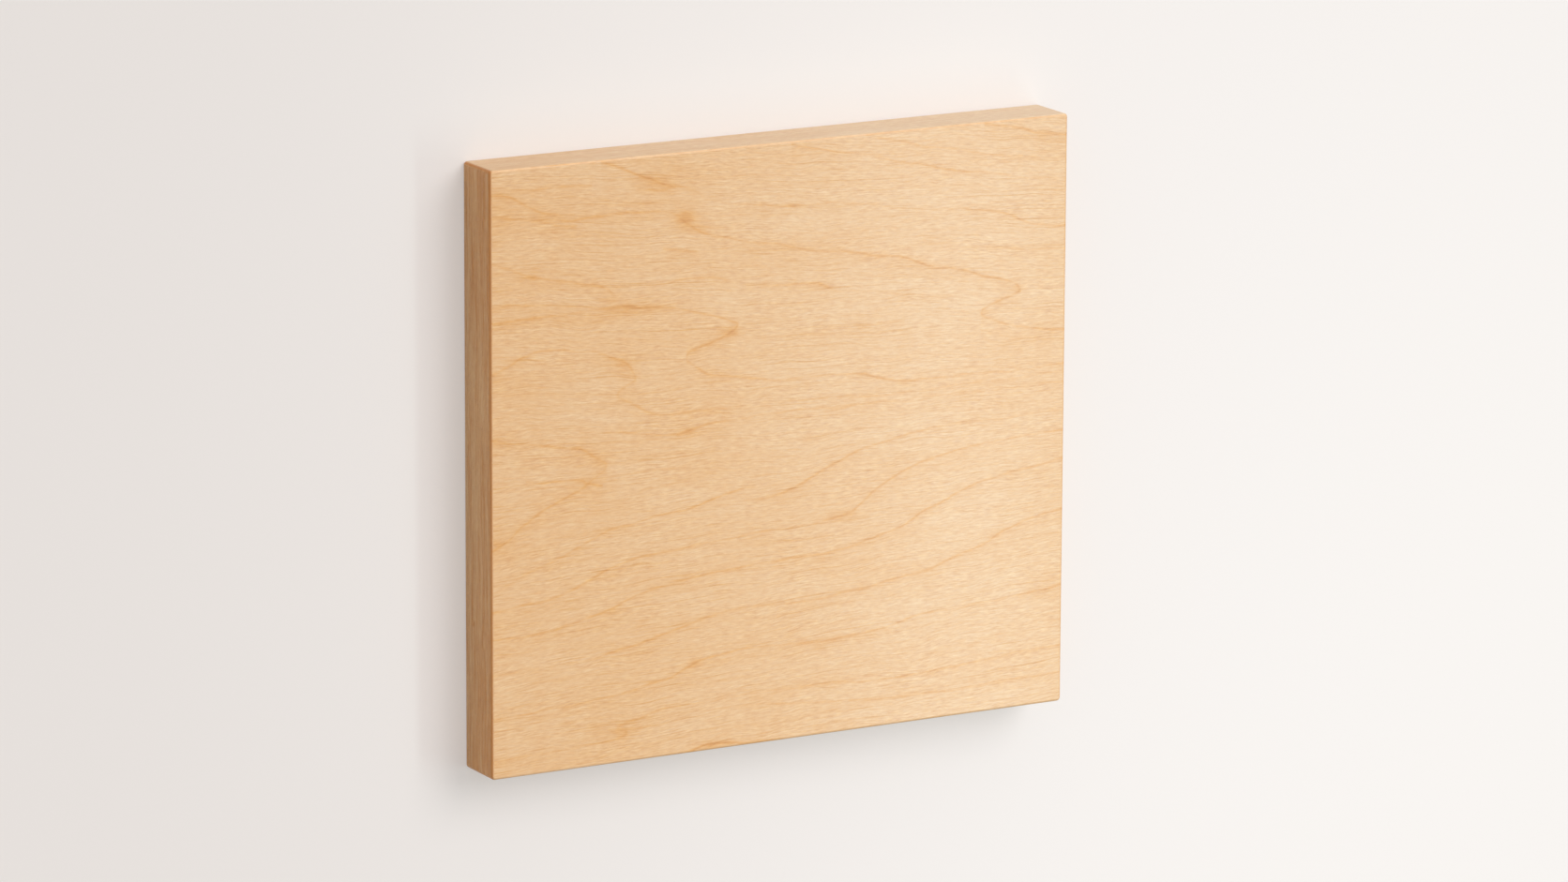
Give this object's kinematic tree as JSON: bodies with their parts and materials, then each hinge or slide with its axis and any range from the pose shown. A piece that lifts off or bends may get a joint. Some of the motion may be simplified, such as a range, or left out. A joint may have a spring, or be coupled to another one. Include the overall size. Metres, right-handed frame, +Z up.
{
  "type": "plywood sheet",
  "caption": "Flat rectangular plywood sheet with a sanded pale hardwood face and eased edges, lying on its back face, to be cut, fastened or edged as a panel.",
  "frame": {"origin": "centre of the underside, on the surface that the sheet lies on", "axes": "+X along the grain of the face, from the picture's left edge to its right one; +Y across the grain, towards the picture's top edge; +Z up through the thickness, out of the face that the picture shows"},
  "size_m": [0.205, 0.192, 0.018],
  "materials": {
    "hardwood_veneer": "satin"
  },
  "bodies": {
    "root": {"plywood_sheet": "hardwood_veneer"}
  },
  "joints": []
}
